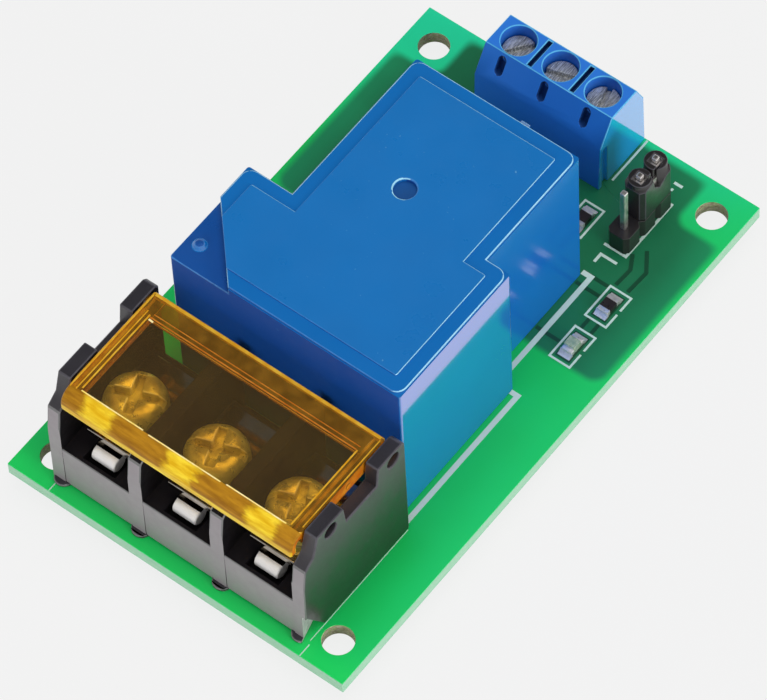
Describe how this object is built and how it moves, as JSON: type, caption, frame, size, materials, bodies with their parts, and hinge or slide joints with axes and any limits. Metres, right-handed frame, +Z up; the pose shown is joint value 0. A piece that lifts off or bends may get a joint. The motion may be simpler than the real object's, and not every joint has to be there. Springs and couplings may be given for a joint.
{
  "type": "relay module board",
  "caption": "Small circuit board with a power relay, a covered screw barrier strip, a screw input terminal and a trigger jumper.",
  "frame": {"origin": "on the surface that the trimmed leads stand on, below the middle of the board", "axes": "+X across the board, +Y along it from the barrier strip to the input terminal, +Z up from the board"},
  "size_m": [0.0402, 0.0658, 0.0238],
  "materials": {
    "board_green": "solder mask over glass-fibre board",
    "solder": "bright solder",
    "relay_blue": "glossy moulded blue",
    "relay_base_blue": "moulded blue with potting resin",
    "bobbin_white": "moulded nylon",
    "enamelled_copper": "varnished copper wire",
    "soft_iron": "plated soft iron",
    "contact_copper": "copper alloy strip",
    "tinned_metal": "bright tinned brass",
    "barrier_black": "satin black moulding",
    "amber_plastic": "clear amber moulding",
    "nickel_plate": "bright nickel plate",
    "terminal_blue": "satin moulded light blue",
    "zinc_steel": "zinc-plated steel",
    "header_black": "black nylon",
    "plated_pin": "bright tin plate",
    "led_resin": "clear resin over a pale chip",
    "chip_black": "black chip body with solder ends",
    "package_black": "moulded black package"
  },
  "bodies": {
    "board": {"circuit_board": "board_green", "solder_joints": "solder", "relay_case": "relay_blue", "relay_base": "relay_base_blue", "relay_bobbin": "bobbin_white", "relay_coil": "enamelled_copper", "relay_core": "soft_iron", "relay_yoke": "soft_iron", "relay_open_contact": "contact_copper", "relay_closed_contact": "contact_copper", "relay_common_terminal": "contact_copper", "relay_coil_pins": "tinned_metal", "barrier_housing": "barrier_black", "input_housing": "terminal_blue", "header_base": "header_black", "header_pins": "plated_pin", "status_led": "led_resin", "led_resistor": "chip_black", "input_resistor": "chip_black", "base_resistor": "chip_black", "optocoupler": "package_black", "transistor": "package_black", "flyback_diode": "package_black", "barrier_plate_1": "tinned_metal", "input_contact_1": "tinned_metal", "barrier_plate_2": "tinned_metal", "input_contact_2": "tinned_metal", "barrier_plate_3": "tinned_metal", "input_contact_3": "tinned_metal"},
    "cover": {"barrier_cover": "amber_plastic"},
    "jumper": {"jumper_shell": "header_black", "jumper_clip": "plated_pin"},
    "armature": {"relay_armature": "soft_iron", "relay_contact_blade": "contact_copper"},
    "clamp_1": {"barrier_clamp_1": "nickel_plate"},
    "clamp_screw_1": {"barrier_screw_1": "nickel_plate"},
    "cage_1": {"input_cage_1": "zinc_steel"},
    "cage_screw_1": {"input_screw_1": "zinc_steel"},
    "clamp_2": {"barrier_clamp_2": "nickel_plate"},
    "clamp_screw_2": {"barrier_screw_2": "nickel_plate"},
    "cage_2": {"input_cage_2": "zinc_steel"},
    "cage_screw_2": {"input_screw_2": "zinc_steel"},
    "clamp_3": {"barrier_clamp_3": "nickel_plate"},
    "clamp_screw_3": {"barrier_screw_3": "nickel_plate"},
    "cage_3": {"input_cage_3": "zinc_steel"},
    "cage_screw_3": {"input_screw_3": "zinc_steel"}
  },
  "joints": [
    {"name": "cover_hinge", "type": "hinge", "parent": "board", "child": "cover", "pos_m": [-0.00045, -0.01755, 0.01795], "axis": [-1, 0, 0], "range_deg": [0, 105]},
    {"name": "jumper_pull", "type": "slide", "parent": "board", "child": "jumper", "axis": [0, 0, 1], "range_m": [0, 0.006]},
    {"name": "armature_hinge", "type": "hinge", "parent": "board", "child": "armature", "pos_m": [0.00117, 0.0132, 0.0188], "axis": [1, 0, 0], "range_deg": [0, 2.5], "stiffness_Nm_per_rad": 0.02, "springref_deg": -2.86},
    {"name": "clamp_1_lift", "type": "slide", "parent": "board", "child": "clamp_1", "axis": [0, 0, 1], "range_m": [-0.0007, 0.0014]},
    {"name": "clamp_screw_1_turn", "type": "hinge", "parent": "clamp_1", "child": "clamp_screw_1", "pos_m": [-0.01015, -0.0248, 0.0148], "axis": [0, 0, 1], "range_deg": [-421, 841]},
    {"name": "cage_1_rise", "type": "slide", "parent": "board", "child": "cage_1", "axis": [0, 0, 1], "range_m": [0, 0.001]},
    {"name": "cage_screw_1_turn", "type": "hinge", "parent": "board", "child": "cage_screw_1", "pos_m": [-0.00633, 0.0295, 0.0116], "axis": [0, 0, 1], "range_deg": [-801, 0.5]},
    {"name": "clamp_2_lift", "type": "slide", "parent": "board", "child": "clamp_2", "axis": [0, 0, 1], "range_m": [-0.0007, 0.0014]},
    {"name": "clamp_screw_2_turn", "type": "hinge", "parent": "clamp_2", "child": "clamp_screw_2", "pos_m": [-0.00045, -0.0248, 0.0148], "axis": [0, 0, 1], "range_deg": [-421, 841]},
    {"name": "cage_2_rise", "type": "slide", "parent": "board", "child": "cage_2", "axis": [0, 0, 1], "range_m": [0, 0.001]},
    {"name": "cage_screw_2_turn", "type": "hinge", "parent": "board", "child": "cage_screw_2", "pos_m": [-0.00125, 0.0295, 0.0116], "axis": [0, 0, 1], "range_deg": [-801, 0.5]},
    {"name": "clamp_3_lift", "type": "slide", "parent": "board", "child": "clamp_3", "axis": [0, 0, 1], "range_m": [-0.0007, 0.0014]},
    {"name": "clamp_screw_3_turn", "type": "hinge", "parent": "clamp_3", "child": "clamp_screw_3", "pos_m": [0.00925, -0.0248, 0.0148], "axis": [0, 0, 1], "range_deg": [-421, 841]},
    {"name": "cage_3_rise", "type": "slide", "parent": "board", "child": "cage_3", "axis": [0, 0, 1], "range_m": [0, 0.001]},
    {"name": "cage_screw_3_turn", "type": "hinge", "parent": "board", "child": "cage_screw_3", "pos_m": [0.00383, 0.0295, 0.0116], "axis": [0, 0, 1], "range_deg": [-801, 0.5]}
  ],
  "couplings": [
    {"joint": "clamp_screw_1_turn", "follows": "clamp_1_lift", "rad_per_m": 10472},
    {"joint": "cage_screw_1_turn", "follows": "cage_1_rise", "rad_per_m": -13963},
    {"joint": "clamp_screw_2_turn", "follows": "clamp_2_lift", "rad_per_m": 10472},
    {"joint": "cage_screw_2_turn", "follows": "cage_2_rise", "rad_per_m": -13963},
    {"joint": "clamp_screw_3_turn", "follows": "clamp_3_lift", "rad_per_m": 10472},
    {"joint": "cage_screw_3_turn", "follows": "cage_3_rise", "rad_per_m": -13963}
  ]
}
